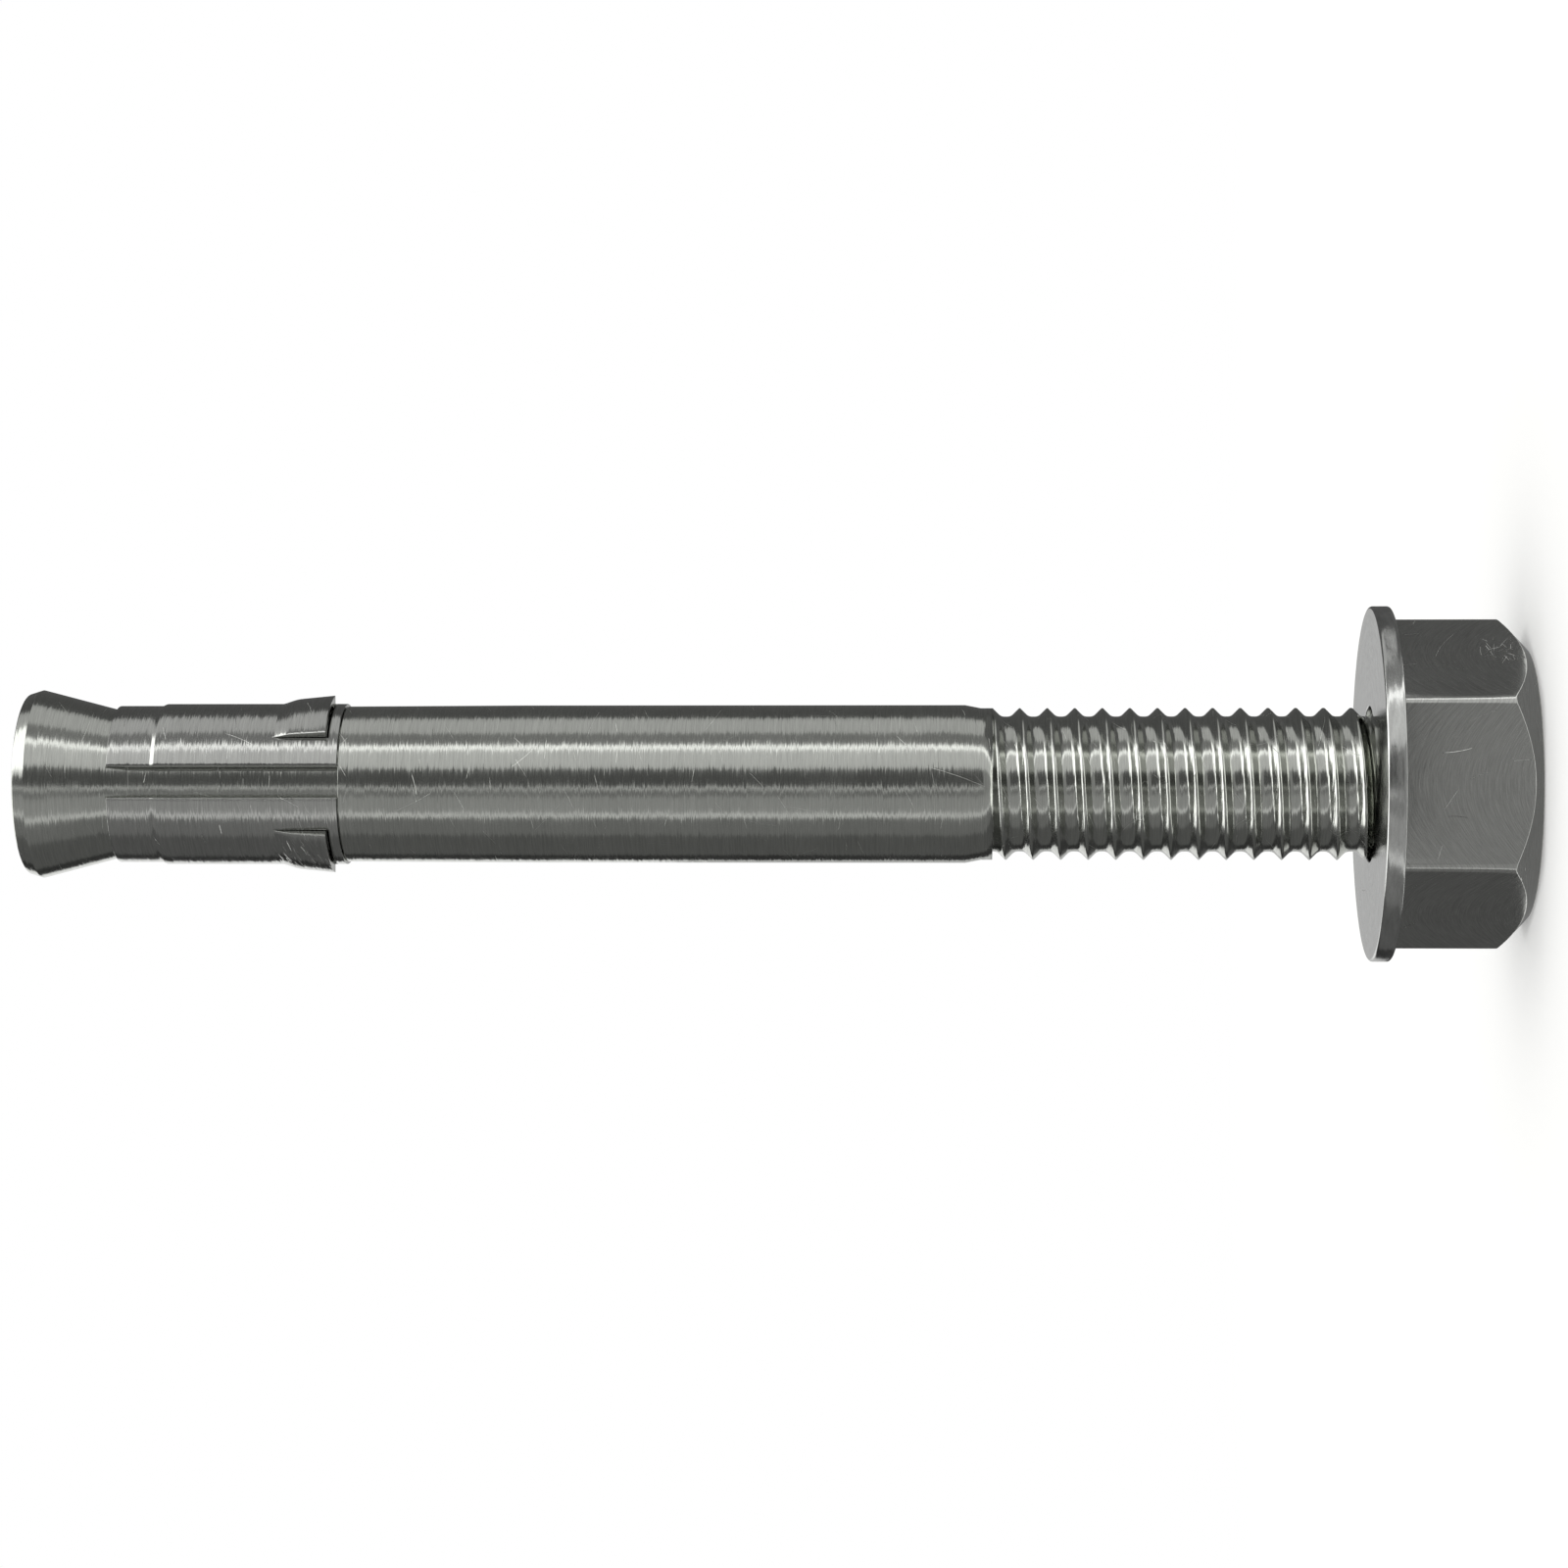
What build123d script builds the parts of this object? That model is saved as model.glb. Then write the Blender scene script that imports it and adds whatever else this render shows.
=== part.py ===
from build123d import *

import os
from math import asin, ceil, cos, degrees, radians, tan

# Nail anchor: a threaded stud with a cone at its inner end, an expansion sleeve, a
# washer and a nut, in millimetres, +Z up. The axis is Z. It stands on the outer face
# of the nut, which is z = 0, with the cone at the top. The slot of the sleeve faces -Y,
# midway between two of its three tabs.

# Nut: a hexagon with rounded corners, chamfered round its outer face
nut_height = 4.55
nut_across_flats = 9.72
nut_corner_radius = 0.4
nut_face_radius = 4.53
nut_chamfer_angle = 47.0
nut_entry_chamfer = 0.28

# Washer, a flat ring that sits just clear of the nut
washer_radius = 6.0
washer_thickness = 0.65
washer_edge_chamfer = 0.08
washer_hole_clearance = 0.06
washer_gap = 0.03

# Thread: right hand, single start, with sharp crests and flat roots
thread_crest_radius = 2.57
thread_depth = 0.285
thread_pitch = 0.93
thread_flank_angle = 45.0
thread_length = 17.6
thread_clearance = 0.06
thread_engagement = 0.17

# Stud, from its threaded end up to its cone
stud_recess = 0.33
stud_end_chamfer = 0.37
land_length = 0.38
shank_radius = 2.675
shank_chamfer_length = 0.53
shank_length = 21.0
shoulder_radius = 2.645
shoulder_taper_length = 6.0
neck_radius = 2.3
cone_radius = 3.21
cone_angle = 14.65
cone_end_radius = 3.075
cone_end_length = 0.43

# Expansion sleeve: a strip rolled round the neck, with its lip on the foot of the cone
sleeve_length = 7.8
sleeve_wall = 0.375
sleeve_clearance = 0.06
sleeve_end_play = 0.04
sleeve_edge_chamfer = 0.06
lip_overlap = 0.82
lip_length = 1.48
lip_step = 0.065
lip_step_length = 0.14
slot_width = 1.09
slot_turn = 1.4

# Tabs: cut from the sleeve on three sides and bent outward, root towards the cone. They
# are spaced evenly, with the slot midway between two of them.
tab_count = 3
tab_half_angle = 25.5
tab_length = 1.77
tab_rim = 0.33
tab_end_kerf = 0.07
tab_side_kerf = 0.02
tab_rise = 0.29
tab_knee = 0.48
tab_knee_rise = 0.165

# Heights along the axis
thread_top = stud_recess + thread_length
land_top = thread_top + land_length
shank_bottom = land_top + shank_chamfer_length
shoulder = shank_bottom + shank_length
sleeve_bottom = shoulder + sleeve_end_play
sleeve_top = sleeve_bottom + sleeve_length
cone_bottom = sleeve_top - lip_overlap
cone_slope = tan(radians(cone_angle))
cone_top = cone_bottom + (cone_radius - neck_radius) / cone_slope
stud_top = cone_top + cone_end_length
washer_bottom = nut_height + washer_gap
window_bottom = sleeve_bottom + tab_rim
tab_bottom = window_bottom + tab_end_kerf
tab_root = tab_bottom + tab_length

# The helix of the thread. A crest meets the land on the +X side, so a crest crosses
# the XZ plane at thread_top and at every pitch below it.
flank_slope = tan(radians(thread_flank_angle))
turns = ceil(thread_top / thread_pitch) + 1
lowest_crest = thread_top - turns * thread_pitch
ridge_sink = 0.1
tool_reach = 0.2

with BuildLine() as thread_path:
    for turn in range(turns + 1):
        center = (0, 0, lowest_crest + turn * thread_pitch)
        Helix(thread_pitch, thread_pitch, thread_crest_radius, center=center)


def threaded_rod(core_radius, tip_radius, bottom, top):
    """A round core with the sharp ridge of the thread wound round it."""
    base_radius = core_radius - ridge_sink
    base_half = (tip_radius - base_radius) / flank_slope
    with BuildPart() as rod:
        with BuildSketch(Plane.XZ):
            with BuildLine():
                Polyline(
                    (tip_radius, lowest_crest),
                    (base_radius, lowest_crest + base_half),
                    (base_radius, lowest_crest - base_half),
                    close=True,
                )
            make_face()
        sweep(path=thread_path.line, is_frenet=True)
        split(bisect_by=Plane.XY.offset(bottom), keep=Keep.TOP)
        split(bisect_by=Plane.XY.offset(top), keep=Keep.BOTTOM)
        with BuildSketch(Plane.XY.offset(bottom)):
            Circle(core_radius)
        extrude(amount=top - bottom)
    return rod.part


def ring_sector(inner_radius, outer_radius, half_angle):
    """The outline of a piece of a ring that faces +X."""
    outer = CenterArc((0, 0), outer_radius, -half_angle, 2 * half_angle)
    inner = CenterArc((0, 0), inner_radius, -half_angle, 2 * half_angle)
    Line(outer @ 0, inner @ 0)
    Line(outer @ 1, inner @ 1)


# Stud: threaded end, land, shank, neck and cone, cold formed as one piece. The thread
# ends in a step at the land, and in a chamfer at its outer end.
thread_root_radius = thread_crest_radius - thread_depth

with BuildPart() as cone_bolt:
    with BuildSketch(Plane.XZ):
        with BuildLine():
            Polyline(
                (0, thread_top),
                (thread_crest_radius, thread_top),
                (thread_crest_radius, land_top),
                (shank_radius, shank_bottom),
                (shank_radius, shoulder - shoulder_taper_length),
                (shoulder_radius, shoulder),
                (neck_radius, shoulder),
                (neck_radius, cone_bottom),
                (cone_radius, cone_top),
                (cone_end_radius, stud_top),
                (0, stud_top),
                close=True,
            )
        make_face()
    revolve(axis=Axis.Z)
    add(threaded_rod(thread_root_radius, thread_crest_radius, stud_recess, thread_top))
    with BuildSketch(Plane.XZ):
        with BuildLine():
            Polyline(
                (thread_crest_radius - stud_end_chamfer, stud_recess),
                (thread_crest_radius + tool_reach, stud_recess),
                (thread_crest_radius + tool_reach, stud_recess + stud_end_chamfer + tool_reach),
                close=True,
            )
        make_face()
    revolve(axis=Axis.Z, mode=Mode.SUBTRACT)
cone_bolt.part.label = "cone_bolt"

# Sleeve: the section of the strip, revolved from one edge of the slot to the other.
# Its bore follows the neck, and opens at the lip to follow the cone.
sleeve_bore = neck_radius + sleeve_clearance
sleeve_radius = sleeve_bore + sleeve_wall
lip_radius = sleeve_radius - lip_step
step_top = sleeve_top - lip_length
flare_radius = sleeve_bore + (sleeve_top - cone_bottom) * cone_slope
slot_half_angle = degrees(asin(slot_width / 2 / sleeve_radius))
strip_start = -90 + slot_turn + slot_half_angle
strip_plane = Plane.XZ.rotated((0, 0, strip_start))

with BuildPart() as expansion_sleeve:
    with BuildSketch(strip_plane):
        with BuildLine():
            Polyline(
                (sleeve_bore, sleeve_bottom),
                (sleeve_radius - sleeve_edge_chamfer, sleeve_bottom),
                (sleeve_radius, sleeve_bottom + sleeve_edge_chamfer),
                (sleeve_radius, step_top - lip_step_length),
                (lip_radius, step_top),
                (lip_radius, sleeve_top - sleeve_edge_chamfer),
                (lip_radius - sleeve_edge_chamfer, sleeve_top),
                (flare_radius, sleeve_top),
                (sleeve_bore, cone_bottom),
                close=True,
            )
        make_face()
    revolve(axis=Axis.Z, revolution_arc=360 - 2 * slot_half_angle)

# The window that a tab is bent out of
with BuildPart() as window:
    with BuildSketch(Plane.XY.offset(window_bottom)):
        with BuildLine():
            ring_sector(sleeve_bore - tool_reach, sleeve_radius + tool_reach, tab_half_angle)
        make_face()
    extrude(amount=tab_root - window_bottom)

# One tab: the piece of the ring that fills the window, flared more and more towards its tip
tab_flares = [
    (tab_root, 0),
    (tab_root - tab_knee, tab_knee_rise),
    (tab_bottom, tab_rise),
]
tab_sector_angle = tab_half_angle - degrees(tab_side_kerf / sleeve_radius)

with BuildPart() as tab:
    for height, rise in tab_flares:
        with BuildSketch(Plane.XY.offset(height)):
            with BuildLine():
                ring_sector(sleeve_bore + rise, sleeve_radius + rise, tab_sector_angle)
            make_face()
    loft(ruled=True)

first_tab_angle = -90 + 180 / tab_count

with expansion_sleeve:
    with PolarLocations(0, tab_count, start_angle=first_tab_angle):
        add(window.part, mode=Mode.SUBTRACT)
        add(tab.part)
expansion_sleeve.part.label = "expansion_sleeve"

# Washer
with BuildPart() as washer:
    with BuildSketch(Plane.XY.offset(washer_bottom)):
        Circle(washer_radius)
        Circle(thread_crest_radius + washer_hole_clearance, mode=Mode.SUBTRACT)
    extrude(amount=washer_thickness)
    rim_edges = washer.edges().filter_by(GeomType.CIRCLE).sort_by(SortBy.RADIUS)[-2:]
    chamfer(rim_edges, washer_edge_chamfer)
washer.part.label = "washer"

# The nut's thread is the form of the stud's, wider all round by the clearance. Its bore
# is wider than the stud's root, so only the outer part of the thread engages.
nut_minor = thread_crest_radius - thread_engagement
nut_thread_tip = thread_crest_radius + thread_clearance / cos(radians(thread_flank_angle))

# Nut: what a cone leaves of a hexagon, bored, countersunk at both ends and threaded
nut_chamfer_slope = tan(radians(nut_chamfer_angle))

with BuildPart() as hex_nut:
    with BuildSketch() as hexagon:
        RegularPolygon(nut_across_flats / 2, 6, major_radius=False)
        fillet(hexagon.vertices(), nut_corner_radius)
    extrude(amount=nut_height)
    with BuildSketch(Plane.XZ):
        with BuildLine():
            Polyline(
                (0, 0),
                (nut_face_radius, 0),
                (nut_face_radius + nut_height * nut_chamfer_slope, nut_height),
                (0, nut_height),
                close=True,
            )
        make_face()
    revolve(axis=Axis.Z, mode=Mode.INTERSECT)
    with BuildSketch():
        Circle(nut_minor)
    extrude(amount=nut_height, mode=Mode.SUBTRACT)
    bore_edges = hex_nut.edges().filter_by(GeomType.CIRCLE).group_by(SortBy.RADIUS)[0]
    chamfer(bore_edges, nut_entry_chamfer)
    tap = threaded_rod(nut_minor, nut_thread_tip, -thread_pitch, nut_height + thread_pitch)
    add(tap, mode=Mode.SUBTRACT)
hex_nut.part.label = "hex_nut"

os.makedirs("parts", exist_ok=True)
for piece in (cone_bolt, expansion_sleeve, washer, hex_nut):
    export_step(piece.part, f"parts/{piece.part.label}.step")
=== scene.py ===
"""Dresses the nail anchor: builds its four pieces, their steels and the studio."""

from collections import namedtuple
from functools import partial
from math import asin, atan2, ceil, cos, pi, radians, sin, sqrt, tan

import bmesh
import bpy
from bpy.props import FloatProperty, FloatVectorProperty, IntProperty, PointerProperty
from mathutils import Matrix, Vector


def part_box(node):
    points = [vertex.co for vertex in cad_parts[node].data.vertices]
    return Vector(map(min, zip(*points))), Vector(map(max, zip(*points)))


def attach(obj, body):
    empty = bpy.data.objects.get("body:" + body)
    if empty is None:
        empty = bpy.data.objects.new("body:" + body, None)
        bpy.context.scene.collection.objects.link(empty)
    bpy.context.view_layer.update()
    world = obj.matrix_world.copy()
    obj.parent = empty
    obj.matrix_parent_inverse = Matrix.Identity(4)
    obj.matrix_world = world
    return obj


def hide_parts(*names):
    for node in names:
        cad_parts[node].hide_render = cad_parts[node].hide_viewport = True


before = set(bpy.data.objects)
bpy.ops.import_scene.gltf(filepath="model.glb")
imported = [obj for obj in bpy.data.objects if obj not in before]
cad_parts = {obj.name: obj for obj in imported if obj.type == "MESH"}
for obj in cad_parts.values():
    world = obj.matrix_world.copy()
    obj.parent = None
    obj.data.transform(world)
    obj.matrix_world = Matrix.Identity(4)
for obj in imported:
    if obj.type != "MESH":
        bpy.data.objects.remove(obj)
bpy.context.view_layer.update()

bl_info = {
    "name": "Nail Anchor",
    "version": (1, 0, 0),
    "blender": (4, 5, 0),
    "location": "View3D > Sidebar > Anchor",
    "description": "Builds a steel nail anchor with its sleeve, washer and nut",
    "category": "Add Mesh",
}

MM = 0.001
TURN = 2 * pi


def linear(hex_colour):
    """The linear colour, with alpha, of an sRGB hex value."""
    channels = [int(hex_colour[i : i + 2], 16) / 255 for i in (1, 3, 5)]
    return [c / 12.92 if c <= 0.04045 else ((c + 0.055) / 1.055) ** 2.4 for c in channels] + [1.0]


def node_span(name):
    """The lowest and highest corner of a CAD node, in mm."""
    low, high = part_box(name)
    return low / MM, high / MM


STUD_LOW, STUD_HIGH = node_span("cone_bolt")
SLEEVE_LOW, SLEEVE_HIGH = node_span("expansion_sleeve")
WASHER_LOW, WASHER_HIGH = node_span("washer")
NUT_LOW, NUT_HIGH = node_span("hex_nut")


# Sizes and colours that a user would change. Lengths are in mm.
def length(name, description, default):
    return FloatProperty(name=name, description=description, default=default, min=0, precision=3)


def angle_property(name, description, degrees):
    return FloatProperty(
        name=name, description=description, subtype="ANGLE", default=radians(degrees)
    )


def colour(name, description, hex_colour):
    return FloatVectorProperty(
        name=name, description=description, subtype="COLOR", size=4, min=0, max=1,
        default=linear(hex_colour),
    )


def count(name, description, default, least):
    return IntProperty(name=name, description=description, default=default, min=least)


class NAILANCHOR_PG_thread(bpy.types.PropertyGroup):
    crest_radius: length("Crest radius", "Radius of the stud over the thread, mm", 2.57)
    depth: length("Depth", "Height of a crest over the root, mm", 0.285)
    pitch: length("Pitch", "Distance from crest to crest, mm", 0.93)
    crest_flat: length("Crest flat", "Width of the flat on a crest, mm", 0.03)
    root_fillet: length("Root fillet", "Radius between a flank and the root, mm", 0.27)
    nut_bore: length("Nut bore", "Radius of the nut's bore, mm", 2.4)
    nut_tip: length("Nut thread", "Radius at the bottom of the nut's thread, mm", 2.655)


class NAILANCHOR_PG_stud(bpy.types.PropertyGroup):
    thread_top: length("Thread top", "Height at which the thread ends, mm", 17.93)
    land_top: length("Land top", "Height at which the land ends, mm", 18.31)
    shank_bottom: length("Shank bottom", "Height at which the shank has its full radius, mm", 18.84)
    shank_radius: length("Shank radius", "Radius of the shank, mm", 2.675)
    shoulder: length("Shoulder", "Height of the shoulder under the sleeve, mm", 39.84)
    shoulder_radius: length("Shoulder radius", "Radius of the shank at the shoulder, mm", 2.645)
    shoulder_taper: length("Shoulder taper", "Length over which the shank narrows, mm", 6.0)
    neck_radius: length("Neck radius", "Radius of the neck under the sleeve, mm", 2.3)
    neck_fillet: length("Neck fillet", "Radius between the neck and the cone, mm", 0.3)
    cone_bottom: length("Cone bottom", "Height at which the cone starts, mm", 46.86)
    cone_radius: length("Cone radius", "Largest radius of the cone, mm", 3.21)
    cone_end_radius: length("Cone end radius", "Radius of the end face, mm", 3.075)
    cone_end_length: length("Cone end length", "Height of the bevel at the end, mm", 0.43)
    end_chamfer: length("End chamfer", "Chamfer of the threaded end, mm", 0.37)
    edge: length("Edge rounding", "Rounding of the stud's edges, mm", 0.05)
    columns: count("Columns", "Mesh columns round the stud", 192, 24)


class NAILANCHOR_PG_sleeve(bpy.types.PropertyGroup):
    bore: length("Bore", "Radius of the bore, mm", 2.36)
    wall: length("Wall", "Thickness of the strip, mm", 0.375)
    slot_width: length("Slot width", "Width of the slot, mm", 1.09)
    slot_turn: angle_property("Slot turn", "Turn of the slot away from -Y", 1.4)
    step_bottom: length("Step bottom", "Height at which the lip's step starts, mm", 46.06)
    step_top: length("Step top", "Height at which the lip's step ends, mm", 46.2)
    step: length("Step", "How far the lip lies below the sleeve, mm", 0.065)
    flare_bottom: length("Flare bottom", "Height at which the bore opens, mm", 46.86)
    flare: FloatProperty(
        name="Flare", description="Slope of the bore in the lip, radius over height", default=0.2615
    )
    tabs: count("Tabs", "Number of tabs, evenly spaced", 3, 1)
    window_bottom: length("Window bottom", "Lower edge of the windows, mm", 40.21)
    tab_bottom: length("Tab tip", "Height of the tips of the tabs, mm", 40.28)
    tab_root: length("Tab root", "Height of the roots of the tabs, mm", 42.05)
    window_angle: angle_property("Window", "Half the angle that a window spans", 25.5)
    side_kerf: length("Side kerf", "Gap between a tab and its window, mm", 0.02)
    rise: length("Rise", "How far the tip of a tab stands out, mm", 0.29)
    knee: length("Knee", "Distance from a tab's root to its knee, mm", 0.48)
    knee_rise: length("Knee rise", "How far the knee of a tab stands out, mm", 0.165)
    root_bend: length("Root bend", "Radius of the bend at a tab's root, mm", 0.5)
    knee_bend: length("Knee bend", "Radius of the bend at a tab's knee, mm", 1.6)
    edge: length("Edge rounding", "Rounding of the cut edges, mm", 0.028)
    cell_height: length("Cell height", "Greatest height of a cell of the mesh, mm", 0.12)
    cell_angle: angle_property("Cell angle", "Greatest angle that a cell spans", 2.5)


class NAILANCHOR_PG_washer(bpy.types.PropertyGroup):
    hole_radius: length("Hole radius", "Radius of the hole, mm", 2.63)
    edge: length("Edge rounding", "Rounding of the tumbled rim, mm", 0.09)
    columns: count("Columns", "Mesh columns round the rim", 256, 24)


class NAILANCHOR_PG_nut(bpy.types.PropertyGroup):
    across_flats: length("Across flats", "Distance between opposite flats, mm", 9.72)
    corner: length("Corner rounding", "Rounding of the six corners, mm", 0.4)
    face_radius: length("Face radius", "Radius of the outer face, mm", 4.53)
    chamfer: angle_property("Chamfer", "Angle of the chamfer from the axis", 47)
    entry: length("Entry chamfer", "Countersink at both ends of the bore, mm", 0.28)
    edge: length("Edge rounding", "Rounding of the nut's edges, mm", 0.035)
    flat_columns: count("Flat columns", "Mesh columns along a flat", 30, 4)
    corner_columns: count("Corner columns", "Mesh columns over half a corner", 4, 1)


class NAILANCHOR_PG_steels(bpy.types.PropertyGroup):
    stud: colour("Stud", "Cold-formed and turned stainless steel", "#C3C5BF")
    sleeve: colour("Sleeve", "Rolled stainless strip", "#C2C3BF")
    washer: colour("Washer", "Stamped and tumbled stainless sheet", "#CDCECB")
    nut: colour("Nut", "Machined stainless bar", "#BFC0BC")


class NAILANCHOR_PG_studio(bpy.types.PropertyGroup):
    floor: colour("Floor", "Pale studio floor", "#ECECEA")
    floor_radius: length("Floor radius", "Radius of the floor, mm", 900)
    fade_start: length("Fade start", "Radius at which the floor starts to fade, mm", 40)
    fade_end: length("Fade end", "Radius at which the floor is plain white, mm", 150)
    floor_lift: FloatProperty(
        name="Floor lift", description="Light added to the floor that the camera and metal see",
        default=0.22, min=0,
    )
    near_radius: length("Near cards", "Radius of the cards that the nut's flats reflect, mm", 45)
    wall_radius: length("Wall radius", "Distance of the softboxes and flags, mm", 220)
    overhead: FloatProperty(
        name="Overhead light", default=0.25, min=0,
        description="Light from the softbox above, where 1 lights the floor as a white sky would",
    )
    softbox_size: FloatProperty(
        name="Softbox size", description="Width of the softbox above", unit="LENGTH", default=1
    )
    lens: FloatProperty(
        name="Lens", description="Focal length of the camera", unit="CAMERA", default=90
    )


GROUPS = {
    "anchor_thread": NAILANCHOR_PG_thread,
    "anchor_stud": NAILANCHOR_PG_stud,
    "anchor_sleeve": NAILANCHOR_PG_sleeve,
    "anchor_washer": NAILANCHOR_PG_washer,
    "anchor_nut": NAILANCHOR_PG_nut,
    "anchor_steels": NAILANCHOR_PG_steels,
    "anchor_studio": NAILANCHOR_PG_studio,
}

# Rows of the mesh from a crest of a thread to its root, as shares of half the pitch
STUD_THREAD_ROWS = (0, 0.032, 0.13, 0.28, 0.43, 0.53, 0.63, 0.74, 0.87, 1.0)
NUT_THREAD_ROWS = (0, 0.06, 0.3, 0.55, 1.0)


# Shapes, in mm
def rounded(corners, steps=4, margin=0.05):
    """Points of a section. A corner is (radius, height) or (radius, height, rounding).

    A point close before and after each rounding keeps the faces beside it flat.
    """
    points = []
    for i, corner in enumerate(corners):
        here = Vector(corner[:2])
        size = corner[2] if len(corner) > 2 else 0
        if not size:
            points.append(tuple(here))
            continue
        back = (Vector(corners[i - 1][:2]) - here).normalized()
        on = (Vector(corners[(i + 1) % len(corners)][:2]) - here).normalized()
        half = back.angle(on) / 2
        centre = here + (back + on).normalized() * size / sin(half)
        reach = size / tan(half)
        start = here + back * reach - centre
        end = here + on * reach - centre
        beyond = reach + min(size / 2, margin)
        points.append(tuple(here + back * beyond))
        sweep = start.angle(end)
        for k in range(steps + 1):
            t = k / steps
            bent = (start * sin((1 - t) * sweep) + end * sin(t * sweep)) / sin(sweep)
            points.append(tuple(centre + bent))
        points.append(tuple(here + on * beyond))
    return points


def spread(stops, most):
    """Values from the first stop to the last, through each, at most a step apart."""
    values = [stops[0]]
    for stop in stops[1:]:
        begin = values[-1]
        steps = max(1, ceil((stop - begin) / most - 1e-6))
        values += [begin + (stop - begin) * (i + 1) / steps for i in range(steps)]
    return values


def full_turn(columns):
    """Angles of the columns of a round body, with the first one again at the end."""
    return [TURN * i / columns for i in range(columns + 1)]


def lathe(angles, section, closed):
    """A turned body: section(angle) gives as many (radius, height) points at each angle."""
    mesh = bmesh.new()
    columns = []
    for angle in angles:
        points = section(angle)
        columns.append([mesh.verts.new((r * cos(angle), r * sin(angle), z)) for r, z in points])
    rows = len(columns[0])
    for left, right in zip(columns, columns[1:]):
        for i in range(rows if closed else rows - 1):
            j = (i + 1) % rows
            mesh.faces.new((left[i], right[i], right[j], left[j]))
    return mesh


def thread_phase(thread, stud, angle, height):
    """Distance along the axis from the nearest crest of the right-hand thread."""
    offset = height - stud.thread_top - thread.pitch * angle / TURN
    return abs(offset - thread.pitch * round(offset / thread.pitch))


def stud_thread_radius(thread, stud, angle, height):
    """Radius of the stud's thread: flat crest, 45 degree flanks and a filleted root."""
    away = thread_phase(thread, stud, angle, height)
    fillet = thread.root_fillet
    root = thread.crest_radius - thread.depth
    foot = thread.pitch / 2 - thread.crest_flat / 2 - thread.depth
    up_fillet = thread.pitch / 2 - away - (foot - fillet * tan(pi / 8))
    if up_fillet < 0:
        return root
    if up_fillet < fillet / sqrt(2):
        return root + fillet - sqrt(fillet ** 2 - up_fillet ** 2)
    return thread.crest_radius - max(0, away - thread.crest_flat / 2)


def thread_rows(thread, half_pitch_rows):
    """Distances from a crest to the rows of the mesh over one pitch, in order."""
    half = [x * thread.pitch / 2 for x in half_pitch_rows]
    return [-x for x in half[:0:-1] if x < thread.pitch / 2] + half


def stud_shape(settings, thread):
    """The stud: its threaded end, land, shank, neck and cone."""
    low, high = STUD_LOW.z, STUD_HIGH.z
    turns = ceil((settings.thread_top - low) / thread.pitch) + 1
    in_pitch = thread_rows(thread, STUD_THREAD_ROWS)
    edge = settings.edge
    # Soft where the shank is drawn in, sharper where it is cut
    upper = rounded([
        (thread.crest_radius, settings.thread_top),
        (thread.crest_radius, settings.land_top),
        (settings.shank_radius, settings.shank_bottom, edge * 3),
        (settings.shank_radius, settings.shoulder - settings.shoulder_taper),
        (settings.shoulder_radius, settings.shoulder, edge / 3),
        (settings.neck_radius, settings.shoulder),
        (settings.neck_radius, settings.cone_bottom, settings.neck_fillet),
        (settings.cone_radius, high - settings.cone_end_length, edge / 2),
        (settings.cone_end_radius, high, edge),
        (0, high),
    ])

    def section(angle):
        points = [(0, low)]
        for turn in range(-turns - 1, 1):
            for step in in_pitch:
                z = settings.thread_top + thread.pitch * (turn + angle / TURN) + step
                z = min(max(z, low), settings.thread_top)
                r = stud_thread_radius(thread, settings, angle, z)
                r = min(r, thread.crest_radius - settings.end_chamfer + z - low)
                points.append((r, z))
        return points + upper

    return lathe(full_turn(settings.columns), section, closed=False)


def washer_shape(settings):
    """The washer: a flat ring with a round rim."""
    low, high, radius = WASHER_LOW.z, WASHER_HIGH.z, -WASHER_LOW.x
    burr = settings.edge / 2
    points = rounded([
        (settings.hole_radius, low, burr),
        (radius, low, settings.edge),
        (radius, high, settings.edge),
        (settings.hole_radius, high, burr),
    ], steps=6)
    return lathe(full_turn(settings.columns), lambda angle: points, closed=True)


def corner_arc(settings):
    """Distance from the axis to the centre of a corner's rounding, and half the angle it spans."""
    centre = (settings.across_flats / 2 - settings.corner) / cos(pi / 6)
    return centre, atan2(settings.corner / 2, centre + settings.corner * cos(pi / 6))


def hexagon_radius(settings, angle):
    """Radius of the rounded hexagon at an angle. Its corners are at multiples of 60 degrees."""
    corner = (angle + pi / 6) % (pi / 3) - pi / 6
    centre, tangent = corner_arc(settings)
    if abs(corner) < tangent:
        return centre * cos(corner) + sqrt(settings.corner ** 2 - (centre * sin(corner)) ** 2)
    return settings.across_flats / 2 / cos(pi / 6 - abs(corner))


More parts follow.
